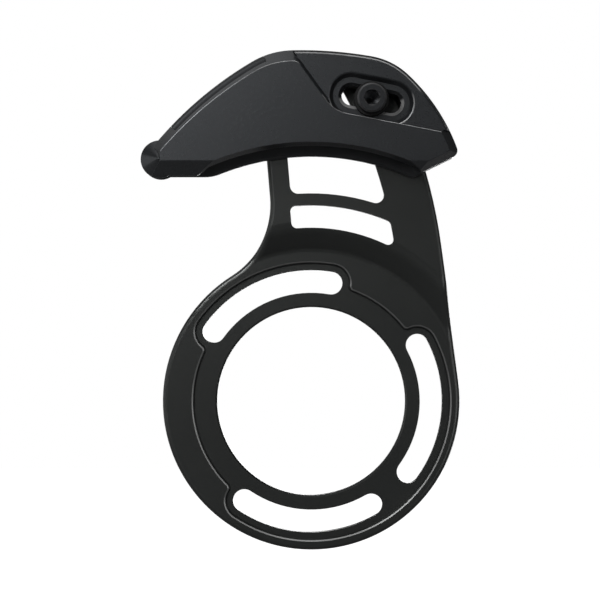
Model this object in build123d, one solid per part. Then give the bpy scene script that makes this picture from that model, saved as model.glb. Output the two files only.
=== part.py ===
from build123d import *
from math import atan2, cos, degrees, radians, sin, tan
import os

# Chain guide for a mid-motor bicycle: a slotted ring that bolts round the motor's crank
# boss, a joggled arm on it, and a two-piece chain cage that slides along the arm and is
# clamped by one bolt. Millimetres. The origin is the centre of the bore on the ring's
# inboard face, +X is forward, +Z is up and -Y is outboard. A height is a distance
# outboard of the ring's inboard face, and a place is (x, z) on such a height.

# Ring
RING_R = 43.4
BORE_R = 27.5
RIM_H = 4.0
POCKET_DEPTH = 1.0
POCKET_R = 34.7
POCKET_LOBE_W = 11.4
POCKET_DRAFT = 33.0
POCKET_BLEND_R = 1.2
RIM_ROUND_R = 1.3
POCKET_EDGE = 0.25
BORE_CHAMFER = 0.5

# Arc slots for the three mounting bolts
SLOT_CIRCLE_R = 35.0
SLOT_W = 6.6
SLOT_SWEEP = 64.0
SLOT_STARTS = (80.4, -36.1, -124.0)

# Arm
ARM_T = 3.0
ARM_H = 10.0
ARM_TOP_R = 95.5
ARM_TOP_CORNER_R = 6.0
JOGGLE_SHELF = 0.8
JOGGLE_RUN = 6.2
JOGGLE_FOOT_R = 1.5
JOGGLE_BROW_R = 5.0
REAR_EDGE_FOOT = (-11.8, 57.0)
REAR_EDGE_LEAN = 4.9
REAR_BLEND_R = 24.2
FRONT_EDGE_LEAN = 7.75
FRONT_EDGE_STRAIGHT = 40.0
FRONT_EDGE_R = 149.0
FRONT_EDGE_SWEEP = 45.0
FRONT_LEG_W = 13.4
UPPER_WINDOW_R = (60.4, 91.0)
UPPER_WINDOW_REAR_LEG_W = 6.05
UPPER_WINDOW_CORNER_R = 2.4
LOWER_WINDOW_R = (50.5, 56.9)
LOWER_WINDOW_REAR_LEG_W = 5.55
LOWER_WINDOW_CORNER_R = 1.6

# Clamp bolt, its washer and its press-in nut
BOLT_AXIS = (16.95, 86.55)
BOLT_D = 5.0
BOLT_LENGTH = 16.0
HEAD_D = 8.3
HEAD_H = 5.0
HEAD_EDGE = 0.5
HEX_SIZE = 4.0
HEX_DEPTH = 2.6
HEX_LEAD_IN = 0.3
DRILL_POINT = 118.0
WASHER_D = 10.0
WASHER_T = 1.0
WASHER_EDGE = 0.2
NUT_SHANK_R = 3.4
NUT_FLANGE_R = 4.4
NUT_LENGTH = 5.0
NUT_EDGE = 0.4
FIT = 0.05

# Sliding adjustment of the cage along the arm
SLIDE_ANGLE = -11.0
TRAVEL = 4.7
SLIDE_CLEARANCE = 0.1
BOLT_SLOT_CLEARANCE = 0.25
END_CLEARANCE = 1.1
KEY_W = 8.0
KEY_LENGTH = 10.0
KEY_H = 1.5

# Cage: its layers, its bevels and its main face
INNER_WALL = 2.0
PARTING_H = 14.0
CHANNEL_W = 8.9
OUTER_WALL = 2.5
BEVEL_H = 4.0
BEVEL_W = 1.5
TOE_BEVEL_W = 2.0
FOOT_BEVEL_W = 3.9
FACE_TAIL_INSET = 2.4
FACE_SHIFT = (-0.2, -2.0)
FACE_EDGE_R = 0.4
ROOF_WALL = 2.0

# Cage outline, with its places given from the crown of the inner guide's lower arc.
# The roof is a chain of tangent arcs, each a radius and a turn
ROOF_START = (-43.34, 4.36)
ROOF_HEADING = 49.2
ROOF_ARCS = ((106.3, 18.6), (23.6, 29.4), (117.0, 11.1), (20.1, 33.0), (54.6, 32.0))
ROOF_RUN_IN = 9.0
TAIL_X = -45.3
FOOT_DROP = 5.9
FOOT_FRONT_X = -30.75
FOOT_FRONT_LEAN = 33.0
FOOT_FRONT_DRAFT = 7.0
TOE = (41.9, 0.1)
TOE_SLOPE = 26.0
TOE_CORNER_R = 2.2
COVER_LOWER_R = 72.7
COVER_LOWER_BEVEL = 1.6
INNER_LOWER_R = 70.9
INNER_LEAD_IN = 0.6
INNER_FOOT_R = 12.0
NOSE = (-43.3, -1.25)
NOSE_R = 5.4
NOSE_TIP_R = 0.3
NOSE_RIM_H = 18.6
NOSE_BACK_H = 17.6
NOSE_EDGE_R = 0.6

# Bolt panel, bolt recess and slot in the cover
PANEL_STEP = 1.5
PANEL_STEP_W = 0.8
PANEL_BEVEL_W = 0.9
PANEL_EDGE = 0.25
PANEL_DROP = 5.5
PANEL_REAR = (2.43, 88.4)
PANEL_REAR_SLOPE = -54.0
PANEL_CORNER_R = 9.0
PANEL_TOP_R = 3.0
RECESS_DEPTH = 1.6
RECESS_DRAFT = 36.0
RECESS_EDGE = 0.2
RECESS_EDGE_ANGLE = 60.0
RECESS_CLEARANCE = 0.2
SLOT_CHAMFER = 0.9
BOSS_WALL = 1.9
FLOOR_WALL = 1.8
BACKING_MARGIN = 1.4

# Clip tongue along the cage's rear shoulder
TONGUE_T = 1.9
TONGUE_H = 20.9
TONGUE_ROUND_R = 1.4
TONGUE_ENDS = (5.0, 38.2)
TONGUE_CLEARANCE = 0.12

# All chamfers
CHAMFER_ANGLE = 45.0

# Helpers for cutting and picking: a cut's run past a face, a same-place distance,
# and how far below an edge its wall is looked for
OVERRUN = 1.0
NEAR = 0.01
EDGE_PROBE = 0.2

# Worked-out heights and sizes
pocket_h = RIM_H - POCKET_DEPTH
arm_back_h = ARM_H - ARM_T
cage_back_h = ARM_H + SLIDE_CLEARANCE
inner_face_h = cage_back_h + INNER_WALL
channel_top_h = inner_face_h + CHANNEL_W
face_h = channel_top_h + OUTER_WALL
rim_h = face_h - BEVEL_H
panel_h = face_h - PANEL_STEP
recess_h = panel_h - RECESS_DEPTH
bolt_slot_w = BOLT_D + 2 * BOLT_SLOT_CLEARANCE
slot_half = TRAVEL + END_CLEARANCE
recess_floor_w = WASHER_D + 2 * RECESS_CLEARANCE
washer_top_h = recess_h + WASHER_T
foot_z = INNER_LOWER_R - FOOT_DROP
far = 4 * ARM_TOP_R


def polar(radius, angle):
    return (radius * cos(radians(angle)), radius * sin(radians(angle)))


def move(point, distance, angle):
    dx, dz = polar(distance, angle)
    return (point[0] + dx, point[1] + dz)


def on_cage(place):
    """A place on the cage, from the crown of the inner guide's lower arc."""
    return (place[0], INNER_LOWER_R + place[1])


def at(height):
    return Plane.XZ.offset(height)


def slab(sketch, low, high, taper=0.0):
    """Solid over a sketch between two heights; a taper leans its walls in."""
    return extrude(at(low) * sketch, high - low, taper=taper)


def turned(profile):
    """Revolve a profile of (radius, height) points about the bore's axis."""
    return revolve(Plane(origin=(0, 0, 0), x_dir=(1, 0, 0), z_dir=(0, 0, -1)) * profile, Axis.Y)


def half_plane(point, angle):
    """Everything to the left of a line through a point, as one large square."""
    corner = move(point, far, angle + 180)
    return Pos(*corner) * Rot(0, 0, angle) * Rectangle(2 * far, 2 * far, align=(Align.MIN, Align.MIN))


def slide_slot(half, width):
    """Slot along the slide direction, centred on the clamp bolt."""
    return Pos(*BOLT_AXIS) * Rot(0, 0, SLIDE_ANGLE) * SlotCenterToCenter(2 * half, width)


def arc_slot(start, sweep, width):
    return SlotArc(CenterArc((0, 0), SLOT_CIRCLE_R, start, sweep), width)


def corners_at(sketch, *points):
    """The sketch's corners that lie on the given points."""
    return [v for v in sketch.vertices() if any((Vector(v) - Vector(*p)).length < NEAR for p in points)]


def corners_on_circle(sketch, radius):
    """The sketch's corners at a radius from the bore's axis."""
    return [v for v in sketch.vertices() if abs(Vector(v).length - radius) < NEAR]


def arm_outline(rear_inset, front_inset):
    """Area between the arm's two long edges, each moved in by an inset."""
    front_heading = FRONT_EDGE_LEAN + 90
    front_foot = polar(RING_R - front_inset, FRONT_EDGE_LEAN)
    front_bend = move(front_foot, FRONT_EDGE_STRAIGHT, front_heading)
    front_arc = JernArc(front_bend, polar(1, front_heading), FRONT_EDGE_R - front_inset, FRONT_EDGE_SWEEP)
    rear_heading = REAR_EDGE_LEAN + 90
    rear_foot = move(REAR_EDGE_FOOT, rear_inset, REAR_EDGE_LEAN)
    rear_top = move(rear_foot, ARM_TOP_R, rear_heading)
    rear_low = move(rear_foot, -REAR_EDGE_FOOT[1], rear_heading)
    edges = Line(front_foot, front_bend) + front_arc
    edges += Polyline(front_arc @ 1, rear_top, rear_low, front_foot)
    return make_face(edges)


def arm_window(radii, rear_leg_w, corner_r):
    """Window between two circles about the bore, held inside the arm's legs."""
    ring = Circle(radii[1]) - Circle(radii[0])
    opening = ring & arm_outline(rear_leg_w, FRONT_LEG_W)
    return fillet(opening.vertices(), corner_r)


def edges_at(solid, height):
    """Edges that lie flat on one height."""
    return solid.edges().filter_by_position(Axis.Y, -height - NEAR, -height + NEAR)


def outboard_edges(solid):
    """Edges where an upright wall ends on its outboard side."""
    walls = [face for face in solid.faces() if abs(face.normal_at().Y) < NEAR]
    picked = []
    for edge in solid.edges():
        middle = edge @ 0.5
        upright = abs(edge.tangent_at(0.5).Y) > 1 - NEAR
        below = Vertex(middle.X, middle.Y + EDGE_PROBE, middle.Z)
        if not upright and min(wall.distance_to(below) for wall in walls) < NEAR:
            picked.append(edge)
    return picked


def pocket_floor():
    """Floor of the ring's pocket: a circle with a lobe round the slots."""
    inset = POCKET_DEPTH * tan(radians(POCKET_DRAFT))
    floor_r = POCKET_R - inset
    lobe_w = POCKET_LOBE_W - 2 * inset
    floor = Circle(floor_r) + arc_slot(SLOT_STARTS[0], SLOT_SWEEP, lobe_w)
    floor += arc_slot(SLOT_STARTS[2], SLOT_STARTS[1] + SLOT_SWEEP - SLOT_STARTS[2], lobe_w)
    return fillet(corners_on_circle(floor, floor_r), POCKET_BLEND_R + inset)


def pocket_edges(plate):
    """Upper edges of the pocket's walls, on the ring's outboard face."""
    inside = RING_R - RIM_ROUND_R - NEAR
    return [edge for edge in edges_at(plate, RIM_H) if Vector(edge @ 0.5).length < inside]


def make_backplate():
    arm = arm_outline(0, 0) & Circle(ARM_TOP_R)
    arm = fillet(corners_on_circle(arm, ARM_TOP_R), ARM_TOP_CORNER_R)
    outline = Circle(RING_R) + arm
    rear_corner = [v for v in corners_on_circle(outline, RING_R) if v.X < 0]
    outline = fillet(rear_corner, REAR_BLEND_R)

    slope = atan2(ARM_H - RIM_H, JOGGLE_RUN)
    foot_r = RING_R + JOGGLE_SHELF
    back_foot_r = foot_r - RIM_H / tan(slope) + ARM_T / sin(slope)
    foot = (foot_r, RIM_H)
    brow = (foot_r + JOGGLE_RUN, ARM_H)
    back_foot = (back_foot_r, 0)
    back_brow = (back_foot_r + arm_back_h / tan(slope), arm_back_h)
    reach = ARM_TOP_R + ARM_T
    section = Polygon(
        (0, 0), back_foot, back_brow, (reach, arm_back_h),
        (reach, ARM_H), brow, foot, (0, RIM_H), align=None,
    )
    section = fillet(corners_at(section, foot, back_foot), JOGGLE_FOOT_R)
    section = fillet(corners_at(section, brow, back_brow), JOGGLE_BROW_R)
    plate = turned(section) & slab(outline, -OVERRUN, ARM_H + OVERRUN)
    plate = fillet(outboard_edges(plate), RIM_ROUND_R)

    plate -= slab(pocket_floor(), pocket_h, RIM_H + POCKET_DEPTH, -POCKET_DRAFT)
    plate = chamfer(pocket_edges(plate), POCKET_EDGE)
    plate -= slab(Circle(BORE_R), -OVERRUN, RIM_H)
    plate -= slab(Circle(BORE_R), pocket_h - BORE_CHAMFER, RIM_H, -CHAMFER_ANGLE)
    for start in SLOT_STARTS:
        plate -= slab(arc_slot(start, SLOT_SWEEP, SLOT_W), -OVERRUN, RIM_H)
    upper = arm_window(UPPER_WINDOW_R, UPPER_WINDOW_REAR_LEG_W, UPPER_WINDOW_CORNER_R)
    lower = arm_window(LOWER_WINDOW_R, LOWER_WINDOW_REAR_LEG_W, LOWER_WINDOW_CORNER_R)
    for window in (upper, lower):
        plate -= slab(window, 0, ARM_H + OVERRUN)

    plate += slab(slide_slot((KEY_LENGTH - KEY_W) / 2, KEY_W), arm_back_h, ARM_H + KEY_H)
    plate -= slab(Pos(*BOLT_AXIS) * Circle(NUT_SHANK_R), 0, ARM_H)
    plate -= slab(Pos(*BOLT_AXIS) * Circle(bolt_slot_w / 2), ARM_H, ARM_H + KEY_H + OVERRUN)
    return plate


def roof_line(inset):
    """The roof's chain of arcs from tail to toe, moved in by an inset."""
    heading = ROOF_HEADING
    start = move(on_cage(ROOF_START), inset, heading - 90)
    chain = Line(move(start, -ROOF_RUN_IN, heading), start)
    point = start
    for radius, turn in ROOF_ARCS:
        arc = JernArc(point, polar(1, heading), radius - inset, -turn)
        chain += arc
        point = arc @ 1
        heading -= turn
    return chain


def along_roof(edges, inset):
    """Those edges that follow the roof line, moved in by an inset."""
    roof = Wire(roof_line(inset).edges())
    return [e for e in edges if roof.distance_to(Vertex((e @ 0.5).X, (e @ 0.5).Z, 0)) < NEAR]


def under_roof(inset):
    """Everything below the roof, moved in by an inset."""
    roof = Wire(roof_line(inset).edges())
    tail, toe = roof @ 0, roof @ 1
    return make_face(roof.edges() + Polyline(toe, (toe.X, -far), (tail.X, -far), tail).edges())


def cage_outline(roof, tail_inset=0.0, toe_inset=0.0, foot_inset=0.0):
    """The cage below its roof, seen from outboard, before its lower edge is cut."""
    outline = roof & half_plane(move(on_cage(TOE), toe_inset, TOE_SLOPE + 90), TOE_SLOPE)
    outline &= half_plane((TAIL_X + tail_inset, 0), -90)
    return outline & half_plane((0, foot_z + foot_inset), 0)


def silhouette():
    """The cage's full outline, with its toe rounded."""
    outline = cage_outline(under_roof(0))
    toe = outline.vertices().sort_by_distance((*on_cage(TOE), 0))[0]
    return fillet(toe, TOE_CORNER_R)


def panel_area(grow):
    """Area of the bolt panel at the main face, moved out by a margin."""
    lower = move(BOLT_AXIS, PANEL_DROP + grow, SLIDE_ANGLE - 90)
    rear = move(PANEL_REAR, grow, PANEL_REAR_SLOPE - 90)
    area = half_plane(lower, SLIDE_ANGLE) & half_plane(rear, PANEL_REAR_SLOPE)
    corner = area.vertices().sort_by_distance((PANEL_REAR[0], PANEL_REAR[1], 0))[0]
    return fillet(corner, PANEL_CORNER_R + grow)


def tongue_strip(thickness, margin):
    """Strip along the rear shoulder of the roof, between the tongue's two ends."""
    roof = Wire(roof_line(0).edges())
    strip = under_roof(0) - under_roof(thickness)
    for end, side in zip(TONGUE_ENDS, (-1, 1)):
        length = ROOF_RUN_IN + end + side * margin
        point = roof.position_at(length, PositionMode.LENGTH)
        along = roof.tangent_at(length, PositionMode.LENGTH)
        angle = degrees(atan2(along.Y, along.X))
        strip &= half_plane((point.X, point.Y), angle + 90 * side)
    return strip


def tongue():
    """Clip tongue of the inner guide, rounded on its outer upper edge."""
    block = slab(tongue_strip(TONGUE_T, 0), PARTING_H, TONGUE_H)
    return fillet(along_roof(edges_at(block, TONGUE_H), 0), TONGUE_ROUND_R)


def nose(low, rim, top, top_r):
    """Rounded lead-in at the tail, turned about its own axis; it narrows from rim to top."""
    section = Polygon((0, low), (NOSE_R, low), (NOSE_R, rim), (top_r, top), (0, top), align=None)
    section = fillet(corners_at(section, (NOSE_R, low), (NOSE_R, rim)), NOSE_EDGE_R)
    x, z = on_cage(NOSE)
    return Pos(x, 0, z) * turned(section)


def make_inner_guide():
    outline = silhouette()
    wall = outline - Circle(INNER_LOWER_R)
    foot_corner = (-(INNER_LOWER_R ** 2 - foot_z ** 2) ** 0.5, foot_z)
    wall = fillet(corners_at(wall, foot_corner), INNER_FOOT_R)
    guide = slab(wall, cage_back_h, inner_face_h)
    guide -= slab(Circle(INNER_LOWER_R), inner_face_h - INNER_LEAD_IN, inner_face_h, -CHAMFER_ANGLE)
    nose_rim_h = inner_face_h - INNER_LEAD_IN
    guide += nose(cage_back_h, nose_rim_h, inner_face_h, NOSE_R - INNER_LEAD_IN)
    guide += slab(outline - under_roof(ROOF_WALL), inner_face_h, PARTING_H)
    guide += slab(slide_slot(slot_half, bolt_slot_w + 2 * BOSS_WALL), inner_face_h, PARTING_H)
    guide += tongue()
    guide -= slab(slide_slot(slot_half, bolt_slot_w), 0, face_h)
    key_half = (KEY_LENGTH - KEY_W) / 2 + TRAVEL + 2 * SLIDE_CLEARANCE
    key_slot = slide_slot(key_half, KEY_W + 2 * SLIDE_CLEARANCE)
    guide -= slab(key_slot, 0, ARM_H + KEY_H + 2 * SLIDE_CLEARANCE)
    return guide


def cover_block():
    """Solid cover with its wide bevel, before its hollow and its bolt panel."""
    face_roof = Pos(*FACE_SHIFT) * under_roof(BEVEL_W)
    face = cage_outline(face_roof, FACE_TAIL_INSET, TOE_BEVEL_W, FOOT_BEVEL_W)
    base = cage_outline(under_roof(0))
    block = slab(base, PARTING_H, rim_h)
    block += loft([at(rim_h) * base, at(face_h) * face], ruled=True)
    return block & slab(silhouette(), PARTING_H, face_h)


def lower_cut():
    """Concave underside of the cover, in front of its foot, with a narrow bevel."""
    section = Polygon(
        (0, 0), (COVER_LOWER_R, 0), (COVER_LOWER_R, rim_h),
        (COVER_LOWER_R + COVER_LOWER_BEVEL, face_h), (0, face_h), align=None,
    )
    front = half_plane((FOOT_FRONT_X, foot_z), -90 - FOOT_FRONT_LEAN)
    return turned(section) & slab(front, 0, face_h, -FOOT_FRONT_DRAFT)


def cover_hollow():
    """Chain space inside the cover, with the walls that back the panel and the bolt."""
    shoulder_h = rim_h - ROOF_WALL / 2
    lean = degrees(atan2(BEVEL_W - FACE_SHIFT[1], BEVEL_H))
    hollow = slab(under_roof(ROOF_WALL), PARTING_H, shoulder_h)
    upper = under_roof(ROOF_WALL) & half_plane((0, foot_z), 0) & half_plane(on_cage(TOE), TOE_SLOPE)
    hollow += slab(upper, shoulder_h, channel_top_h, lean)
    hollow -= slab(panel_area(BACKING_MARGIN), panel_h - ROOF_WALL, face_h)
    recess_w = recess_floor_w + 2 * RECESS_DEPTH * tan(radians(RECESS_DRAFT))
    hollow -= slab(slide_slot(slot_half, recess_w + 2 * BACKING_MARGIN), recess_h - FLOOR_WALL, face_h)
    hollow -= slab(slide_slot(slot_half, bolt_slot_w + 2 * BOSS_WALL), 0, face_h)
    return hollow


def make_outer_guide():
    block = cover_block()
    panel_lean = degrees(atan2(PANEL_STEP_W, PANEL_STEP))
    floor_area = panel_area(-PANEL_STEP_W)
    panel_top = cage_outline(under_roof(PANEL_BEVEL_W), PANEL_BEVEL_W)
    panel = loft([at(rim_h) * cage_outline(under_roof(0)), at(panel_h) * panel_top], ruled=True)
    panel = chamfer(along_roof(edges_at(panel, panel_h), PANEL_BEVEL_W), PANEL_EDGE)
    panel &= slab(floor_area, PARTING_H, panel_h)
    cover = block - slab(floor_area, panel_h, face_h + PANEL_STEP, -panel_lean)
    step_corners = cover.edges().filter_by_position(Axis.Y, -face_h + NEAR, -panel_h - NEAR)
    cover = fillet(step_corners.sort_by(Axis.Z)[-1], PANEL_TOP_R)
    cover += panel
    cover = fillet(edges_at(cover, face_h), FACE_EDGE_R)
    cover -= lower_cut()
    cover -= cover_hollow()
    cover += nose(NOSE_BACK_H, NOSE_RIM_H, face_h, NOSE_TIP_R)
    recess = slab(slide_slot(slot_half, recess_floor_w), recess_h, face_h, -RECESS_DRAFT)
    edge_h = panel_h - RECESS_EDGE
    edge_w = recess_floor_w + 2 * (edge_h - recess_h) * tan(radians(RECESS_DRAFT))
    recess += slab(slide_slot(slot_half, edge_w), edge_h, panel_h + RECESS_EDGE, -RECESS_EDGE_ANGLE)
    cover -= recess & slab(panel_area(0), recess_h, face_h)
    cover -= slab(slide_slot(slot_half, bolt_slot_w), 0, face_h)
    funnel = slide_slot(slot_half, bolt_slot_w)
    cover -= slab(funnel, recess_h - SLOT_CHAMFER, recess_h + SLOT_CHAMFER, -CHAMFER_ANGLE)
    cover -= slab(tongue_strip(TONGUE_T + TONGUE_CLEARANCE, TONGUE_CLEARANCE), 0, face_h)
    return cover


def make_clamp_washer():
    ring = Circle(WASHER_D / 2) - Circle(BOLT_D / 2 + BOLT_SLOT_CLEARANCE)
    washer = slab(ring, recess_h, washer_top_h)
    rims = washer.edges().filter_by(GeomType.CIRCLE).sort_by(SortBy.RADIUS)[-2:]
    return Pos(BOLT_AXIS[0], 0, BOLT_AXIS[1]) * chamfer(rims, WASHER_EDGE)


def make_clamp_bolt():
    head = slab(Circle(HEAD_D / 2), washer_top_h, washer_top_h + HEAD_H)
    head = chamfer(head.edges().filter_by(GeomType.CIRCLE).sort_by(Axis.Y)[0], HEAD_EDGE)
    socket_h = washer_top_h + HEAD_H
    head -= slab(RegularPolygon(HEX_SIZE / 2, 6, major_radius=False), socket_h - HEX_DEPTH, socket_h)
    head -= slab(Circle(HEX_SIZE / 2), socket_h - HEX_LEAD_IN, socket_h, -CHAMFER_ANGLE)
    drill_h = socket_h - HEX_DEPTH
    drill_tip_h = drill_h - HEX_SIZE / 2 / tan(radians(DRILL_POINT / 2))
    head -= turned(Polygon((0, drill_tip_h), (HEX_SIZE / 2, drill_h), (0, drill_h), align=None))
    shank = slab(Circle(BOLT_D / 2), washer_top_h - BOLT_LENGTH, washer_top_h)
    return Pos(BOLT_AXIS[0], 0, BOLT_AXIS[1]) * (head + shank)


def make_threaded_insert():
    shank = slab(Circle(NUT_SHANK_R - FIT), ARM_H - NUT_LENGTH, ARM_H)
    flange = slab(Circle(NUT_FLANGE_R), ARM_H - NUT_LENGTH, arm_back_h)
    flange = chamfer(flange.edges().filter_by(GeomType.CIRCLE).sort_by(Axis.Y)[-1], NUT_EDGE)
    nut = shank + flange - slab(Circle(BOLT_D / 2 + FIT), 0, ARM_H)
    return Pos(BOLT_AXIS[0], 0, BOLT_AXIS[1]) * nut


NODES = {
    "backplate": make_backplate,
    "threaded_insert": make_threaded_insert,
    "inner_guide": make_inner_guide,
    "outer_guide": make_outer_guide,
    "clamp_washer": make_clamp_washer,
    "clamp_bolt": make_clamp_bolt,
}

os.makedirs("parts", exist_ok=True)
for name, make in NODES.items():
    export_step(make(), f"parts/{name}.step")
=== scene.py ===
import math
from typing import NamedTuple

import bpy
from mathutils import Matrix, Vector


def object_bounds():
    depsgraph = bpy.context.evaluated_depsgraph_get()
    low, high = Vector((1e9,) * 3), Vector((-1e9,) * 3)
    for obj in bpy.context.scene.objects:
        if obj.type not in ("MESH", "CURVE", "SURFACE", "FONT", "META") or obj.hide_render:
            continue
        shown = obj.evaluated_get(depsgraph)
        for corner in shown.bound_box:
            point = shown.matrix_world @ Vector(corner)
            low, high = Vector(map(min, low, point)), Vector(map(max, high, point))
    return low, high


# A bicycle chain guide, seen square on from its outboard side against white.
# Metres, in the part's own frame: +X forward, +Z up, -Y outboard.

# Camera: its place, its turn to look level along +Y, the width of its view in degrees, the
# width of its sensor in millimetres, and the nearest distance that it shows
CAMERA_PLACE = (-0.00330, -0.604, 0.02958)
CAMERA_TURN = (math.radians(90), 0.0, 0.0)
VIEW_ANGLE = 16.6
SENSOR = 36.0
NEAREST = 0.01

# Floor: how far below the part it lies, its width, and its tone for bounced light and to the eye
FLOOR_DROP = 0.1
FLOOR_SIZE = 3.0
FLOOR_TONE = 0.23
FLOOR_SEEN_TONE = 0.9
# White of its own that the floor adds for the eye: below the part and far from it, the
# distances between which it rises, and its share in reflections
FLOOR_GLOW = (0.4, 1.0)
FLOOR_NEAR = 0.03
FLOOR_FAR = 0.3
FLOOR_MIRRORED = 0.05

# Dome: its strength straight up and straight down, and behind the part for reflections only
DOME_TOP = 0.08
DOME_LOW = 0.02
DOME_BACK = 0.06
WHITE = (1.0, 1.0, 1.0, 1.0)

# Soft boxes: place, the point that each looks at, width, height and watts
MIDDLE = (0.0, 0.0, 0.04)
SOFT_BOXES = {
    "front": ((-0.18, -0.70, 0.26), MIDDLE, 0.25, 0.25, 0.86),
    "fill": ((0.14, -0.72, 0.24), MIDDLE, 0.3, 0.3, 0.06),
    "low": ((-0.34, -0.58, 0.0), MIDDLE, 0.3, 0.3, 0.26),
    "low_right": ((0.34, -0.45, -0.05), MIDDLE, 0.2, 0.2, 0.45),
    "low_back": ((0.34, 0.40, -0.06), MIDDLE, 0.2, 0.2, 0.5),
    "key": ((-0.27, -0.36, 0.32), MIDDLE, 0.15, 0.15, 1.8),
    "high": ((0.05, -0.42, 0.62), MIDDLE, 0.2, 0.2, 1.5),
    "right": ((0.52, -0.34, 0.10), MIDDLE, 0.25, 0.25, 0.35),
    "left": ((-0.58, -0.12, 0.0), MIDDLE, 0.5, 0.5, 0.7),
    "shoulder": ((-0.22, 0.26, 0.66), MIDDLE, 0.6, 0.6, 1.0),
    "rim": ((-0.45, 0.45, 0.0), (0.0, 0.0, 0.02), 0.4, 0.4, 0.3),
    "back": ((0.20, 0.75, 0.05), (0.0, 0.0, 0.03), 0.42, 0.4, 2.4),
}


class Finish(NamedTuple):
    """Two base tones of a mottled surface, its shine, its grain and how metallic it is."""
    dark: tuple
    light: tuple
    tint: tuple
    roughness: tuple
    gloss: float
    grains_per_metre: float
    grain_depth: float
    metallic: float


FINISHES = {
    "anodised_black": Finish(
        (0.0066, 0.0072, 0.0070), (0.0086, 0.0092, 0.0090), (0.97, 1.0, 0.98),
        (0.30, 0.36), 0.45, 4000.0, 1e-6, 0.0,
    ),
    "cover_black": Finish(
        (0.0068, 0.0073, 0.0079), (0.0092, 0.0097, 0.0104), (0.91, 0.95, 1.0),
        (0.27, 0.32), 0.46, 2600.0, 2e-6, 0.0,
    ),
    "inner_black": Finish(
        (0.0150, 0.0155, 0.0162), (0.0190, 0.0196, 0.0205), (0.91, 0.95, 1.0),
        (0.40, 0.46), 0.14, 2600.0, 2e-6, 0.0,
    ),
    "bolt_oxide": Finish(
        (0.0020, 0.0020, 0.0024), (0.0032, 0.0032, 0.0036), (0.91, 0.95, 1.0),
        (0.30, 0.38), 0.38, 3000.0, 1e-6, 0.0,
    ),
    "washer_oxide": Finish(
        (0.0020, 0.0020, 0.0021), (0.0030, 0.0030, 0.0031), (1.0, 1.0, 1.0),
        (0.42, 0.50), 0.20, 3000.0, 1e-6, 0.0,
    ),
    "zinc_plate": Finish(
        (0.20, 0.20, 0.19), (0.30, 0.30, 0.29), (1.0, 1.0, 1.0),
        (0.32, 0.44), 0.50, 3000.0, 2e-6, 1.0,
    ),
}
NODE_FINISHES = {
    "backplate": "anodised_black",
    "threaded_insert": "zinc_plate",
    "inner_guide": "inner_black",
    "outer_guide": "cover_black",
    "clamp_washer": "washer_oxide",
    "clamp_bolt": "bolt_oxide",
}
# Mottling of every finish: patches a metre, the noises' detail, and the two ends of contrast
PATCHES_PER_METRE = 60.0
PATCH_DETAIL = 3.0
GRAIN_DETAIL = 2.0
CONTRAST_LOW = 0.3
CONTRAST_HIGH = 0.7


class PaintedHighlight(NamedTuple):
    """A patch of painted highlight on broken edges, paler where they face up, in place of light
    caught on them: its middle (x, z) and reach, the leans from straight outboard in degrees that
    only broken edges have there, how far a forward lean and a lean to either side count against
    the highlight, the upward leans where it begins and is full, and its least and most amount."""
    middle: tuple
    reach: float
    leans: tuple
    forward_share: float
    side_share: float
    rise: tuple
    amounts: tuple


# Painted highlights along broken edges: a pale tone mixed into the base colour, stronger where the
# edges face up, in place of light that such edges catch
PAINTED_HIGHLIGHT_TONE = (0.30, 0.30, 0.30)
RING_PLACE = (0.0, 0.0)
BOLT_PLACE = (0.01695, 0.08655)
STEP_PLACE = (0.030, 0.0795)
PAINTED_EDGE_HIGHLIGHTS = {
    "anodised_black": [
        PaintedHighlight(RING_PLACE, 0.0418, (22.0, 38.0), 0.0, 0.0, (-0.1, 0.05), (0.16, 0.47)),
    ],
    "cover_black": [
        PaintedHighlight(RING_PLACE, 0.2, (22.0, 38.0), 0.0, 0.8, (0.0, 0.35), (0.0, 0.6)),
        PaintedHighlight(BOLT_PLACE, 0.014, (22.0, 50.0), 0.3, 0.0, (-0.1, 0.05), (0.0, 0.42)),
        PaintedHighlight(STEP_PLACE, 0.013, (22.0, 38.0), 0.0, 0.8, (0.0, 0.35), (0.0, 1.0)),
    ],
    # Painted highlight on the bolt head's chamfer, paler on its upper side
    "bolt_oxide": [
        PaintedHighlight(BOLT_PLACE, 0.014, (40.0, 50.0), 0.0, 0.0, (-0.5, 0.5), (0.03, 0.12)),
    ],
}
WITHOUT_DEPTH = (1.0, 0.0, 1.0)


def add_node(tree, kind, links=None, values=None, **settings):
    """New shader node: its settings, its inputs' values and what its inputs are linked to."""
    node = tree.nodes.new(kind)
    for name, value in settings.items():
        setattr(node, name, value)
    for name, value in (values or {}).items():
        node.inputs[name].default_value = value
    for name, socket in (links or {}).items():
        tree.links.new(socket, node.inputs[name])
    return node


def map_range(tree, socket, low, high, to_low, to_high):
    """A value's range stretched to another one, and held at its ends."""
    ends = {"From Min": low, "From Max": high, "To Min": to_low, "To Max": to_high}
    return add_node(tree, "ShaderNodeMapRange", {"Value": socket}, ends).outputs["Result"]


def combine(tree, operation, first, second):
    """Result of a sum on a socket and a number or another socket."""
    node = add_node(tree, "ShaderNodeMath", {0: first}, operation=operation)
    if isinstance(second, float):
        node.inputs[1].default_value = second
    else:
        tree.links.new(second, node.inputs[1])
    return node.outputs["Value"]


def axis_of(tree, socket, axis):
    """One coordinate of a vector."""
    return add_node(tree, "ShaderNodeSeparateXYZ", {"Vector": socket}).outputs[axis]


def shift_or_scale(tree, operation, socket, numbers):
    """A vector with fixed numbers taken from it or multiplied into it."""
    node = add_node(tree, "ShaderNodeVectorMath", {0: socket}, {1: numbers}, operation=operation)
    return node.outputs["Vector"]


def length_of(tree, socket):
    """Length of a vector."""
    return add_node(tree, "ShaderNodeVectorMath", {0: socket}, operation="LENGTH").outputs["Value"]


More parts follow.
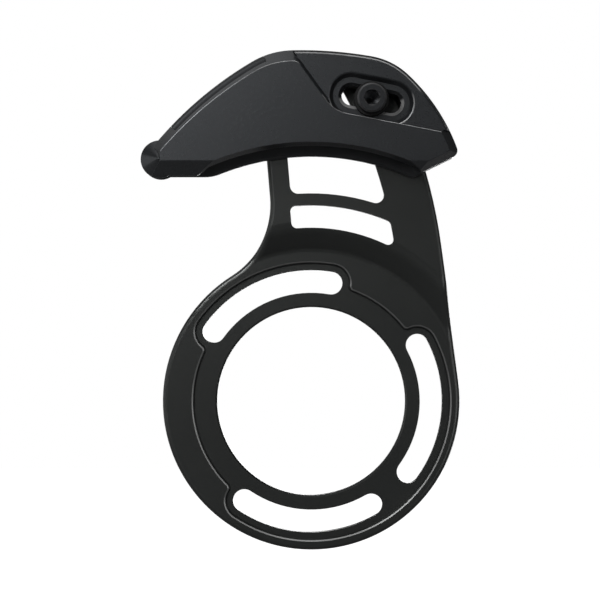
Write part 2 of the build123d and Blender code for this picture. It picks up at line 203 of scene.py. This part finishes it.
def noise(tree, place, scale, detail):
    """Noise over a surface, from 0 to 1."""
    values = {"Scale": scale, "Detail": detail}
    return add_node(tree, "ShaderNodeTexNoise", {"Vector": place}, values).outputs["Fac"]


def ramp(tree, factor, low, high):
    """Tone between two colours by a noise's value."""
    node = add_node(tree, "ShaderNodeValToRGB", {"Fac": factor})
    first, last = node.color_ramp.elements
    first.position = CONTRAST_LOW
    last.position = CONTRAST_HIGH
    first.color = (*low, 1.0)
    last.color = (*high, 1.0)
    return node.outputs["Color"]


def painted_highlight_share(tree, place, highlight_patch):
    """Share of the painted highlight tone on edges broken towards the outboard side, in one patch,
    growing as the edge faces up.
    """
    normal = add_node(tree, "ShaderNodeNewGeometry").outputs["Normal"]
    along = axis_of(tree, normal, "X")
    outboard = combine(tree, "MULTIPLY", axis_of(tree, normal, "Y"), -1.0)
    flat, steep = [math.cos(math.radians(lean)) for lean in highlight_patch.leans]
    leans_enough = combine(tree, "LESS_THAN", outboard, flat)
    not_too_steep = combine(tree, "GREATER_THAN", outboard, steep)
    band = combine(tree, "MULTIPLY", leans_enough, not_too_steep)
    x, z = highlight_patch.middle
    offset = shift_or_scale(tree, "SUBTRACT", place, (x, 0.0, z))
    radius = length_of(tree, shift_or_scale(tree, "MULTIPLY", offset, WITHOUT_DEPTH))
    near = combine(tree, "LESS_THAN", radius, highlight_patch.reach)
    aside = combine(tree, "MULTIPLY", combine(tree, "ABSOLUTE", along, 0.0), highlight_patch.side_share)
    forward = combine(tree, "MULTIPLY", along, highlight_patch.forward_share)
    against = combine(tree, "ADD", forward, aside)
    # The painted highlight grows as the edge faces up, as if lit from above
    upward = combine(tree, "SUBTRACT", axis_of(tree, normal, "Z"), against)
    amount = map_range(tree, upward, *highlight_patch.rise, *highlight_patch.amounts)
    return combine(tree, "MULTIPLY", combine(tree, "MULTIPLY", band, near), amount)


def make_finish(name):
    """Fine-grained surface: mottled tone with painted highlights on its broken edges, mottled
    roughness and a shallow grain in relief.
    """
    finish = FINISHES[name]
    material = bpy.data.materials.new(name)
    material.use_nodes = True
    tree = material.node_tree
    shader = tree.nodes["Principled BSDF"]
    shader.inputs["Specular IOR Level"].default_value = finish.gloss
    shader.inputs["Specular Tint"].default_value = (*finish.tint, 1.0)
    shader.inputs["Metallic"].default_value = finish.metallic
    place = add_node(tree, "ShaderNodeTexCoord").outputs["Object"]
    broad = noise(tree, place, PATCHES_PER_METRE, PATCH_DETAIL)
    fine = noise(tree, place, finish.grains_per_metre, GRAIN_DETAIL)
    tone = ramp(tree, broad, finish.dark, finish.light)
    # Painted highlights: the pale tone mixed in on broken edges that face up
    highlight_colour = {"Color2": (*PAINTED_HIGHLIGHT_TONE, 1.0)}
    for highlight_patch in PAINTED_EDGE_HIGHLIGHTS.get(name, []):
        mixed = {"Fac": painted_highlight_share(tree, place, highlight_patch), "Color1": tone}
        tone = add_node(tree, "ShaderNodeMixRGB", mixed, highlight_colour).outputs["Color"]
    tree.links.new(tone, shader.inputs["Base Color"])
    roughness = map_range(tree, fine, CONTRAST_LOW, CONTRAST_HIGH, *finish.roughness)
    tree.links.new(roughness, shader.inputs["Roughness"])
    relief = add_node(tree, "ShaderNodeBump", {"Height": fine}, {"Distance": finish.grain_depth})
    tree.links.new(relief.outputs["Normal"], shader.inputs["Normal"])
    return material


def dress(mesh, material):
    """Give every material slot of a CAD node's mesh one material."""
    for slot in range(len(mesh.materials)):
        mesh.materials[slot] = material


def make_camera():
    """Camera that looks level at the outboard side."""
    data = bpy.data.cameras.new("camera")
    data.sensor_width = SENSOR
    data.lens = SENSOR / 2 / math.tan(math.radians(VIEW_ANGLE) / 2)
    data.clip_start = NEAREST
    camera = bpy.data.objects.new("camera", data)
    camera.location = CAMERA_PLACE
    camera.rotation_euler = CAMERA_TURN
    bpy.context.scene.collection.objects.link(camera)
    bpy.context.scene.camera = camera


def make_soft_boxes():
    """Soft studio lamps round the part, which the camera doesn't see."""
    for name, (place, target, width, height, watts) in SOFT_BOXES.items():
        data = bpy.data.lights.new(name, "AREA")
        data.shape = "RECTANGLE"
        data.size = width
        data.size_y = height
        data.energy = watts
        lamp = bpy.data.objects.new(name, data)
        lamp.location = place
        lamp.visible_camera = False
        direction = Vector(target) - lamp.location
        lamp.rotation_euler = direction.to_track_quat("-Z", "Y").to_euler()
        bpy.context.scene.collection.objects.link(lamp)


def seen_directly(tree, path):
    """1 for rays from the camera or through something clear, 0 for the rest."""
    return combine(tree, "MAXIMUM", path.outputs["Is Camera Ray"], path.outputs["Is Transmission Ray"])


def make_world():
    """White to the eye. For light, a dim dome, with a paler backdrop in reflections."""
    world = bpy.data.worlds.new("studio")
    bpy.context.scene.world = world
    world.use_nodes = True
    tree = world.node_tree
    tree.nodes.clear()
    direction = add_node(tree, "ShaderNodeTexCoord").outputs["Generated"]
    path = add_node(tree, "ShaderNodeLightPath")
    dome = map_range(tree, axis_of(tree, direction, "Z"), -1.0, 1.0, DOME_LOW, DOME_TOP)
    backdrop = map_range(tree, axis_of(tree, direction, "Y"), 0.0, 1.0, 0.0, DOME_BACK)
    mirrored = combine(tree, "MULTIPLY", backdrop, path.outputs["Is Glossy Ray"])
    lit = combine(tree, "MAXIMUM", dome, mirrored)
    strength = combine(tree, "MAXIMUM", lit, seen_directly(tree, path))
    background = add_node(tree, "ShaderNodeBackground", {"Strength": strength}, {"Color": WHITE})
    add_node(tree, "ShaderNodeOutputWorld", {"Surface": background.outputs["Background"]})


def make_floor(height):
    """Pale floor: white to the eye but for the part's shadow, and clear from below."""
    bpy.ops.mesh.primitive_plane_add(size=FLOOR_SIZE, location=(0.0, 0.0, height))
    floor = bpy.context.object
    floor.name = "floor"
    material = bpy.data.materials.new("pale_floor")
    material.use_nodes = True
    tree = material.node_tree
    tree.nodes.clear()
    path = add_node(tree, "ShaderNodeLightPath")
    seen = seen_directly(tree, path)
    mirrored = combine(tree, "MULTIPLY", path.outputs["Is Glossy Ray"], FLOOR_MIRRORED)
    tone = map_range(tree, seen, 0.0, 1.0, FLOOR_TONE, FLOOR_SEEN_TONE)
    distance = length_of(tree, add_node(tree, "ShaderNodeTexCoord").outputs["Object"])
    own = map_range(tree, distance, FLOOR_NEAR, FLOOR_FAR, *FLOOR_GLOW)
    glow = combine(tree, "MULTIPLY", own, combine(tree, "MAXIMUM", seen, mirrored))
    matt = add_node(tree, "ShaderNodeBsdfDiffuse", {"Color": tone}).outputs["BSDF"]
    white = add_node(tree, "ShaderNodeEmission", {"Strength": glow}).outputs["Emission"]
    pale = add_node(tree, "ShaderNodeAddShader", {0: matt, 1: white}).outputs["Shader"]
    below = add_node(tree, "ShaderNodeNewGeometry").outputs["Backfacing"]
    clear = add_node(tree, "ShaderNodeBsdfTransparent").outputs["BSDF"]
    sided = add_node(tree, "ShaderNodeMixShader", {0: below, 1: pale, 2: clear})
    add_node(tree, "ShaderNodeOutputMaterial", {"Surface": sided.outputs["Shader"]})
    floor.data.materials.append(material)


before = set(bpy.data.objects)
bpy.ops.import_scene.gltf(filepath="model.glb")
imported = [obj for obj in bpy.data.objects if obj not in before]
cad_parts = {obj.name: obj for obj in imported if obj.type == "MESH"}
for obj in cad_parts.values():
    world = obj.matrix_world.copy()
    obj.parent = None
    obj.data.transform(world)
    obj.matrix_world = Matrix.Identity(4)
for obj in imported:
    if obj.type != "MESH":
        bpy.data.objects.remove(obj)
cad_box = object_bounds()
lowest = cad_box[0][2]

for node, finish_name in NODE_FINISHES.items():
    dress(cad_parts[node].data, make_finish(finish_name))
make_camera()
make_soft_boxes()
make_world()
make_floor(lowest - FLOOR_DROP)
bpy.context.scene.view_settings.view_transform = "Standard"
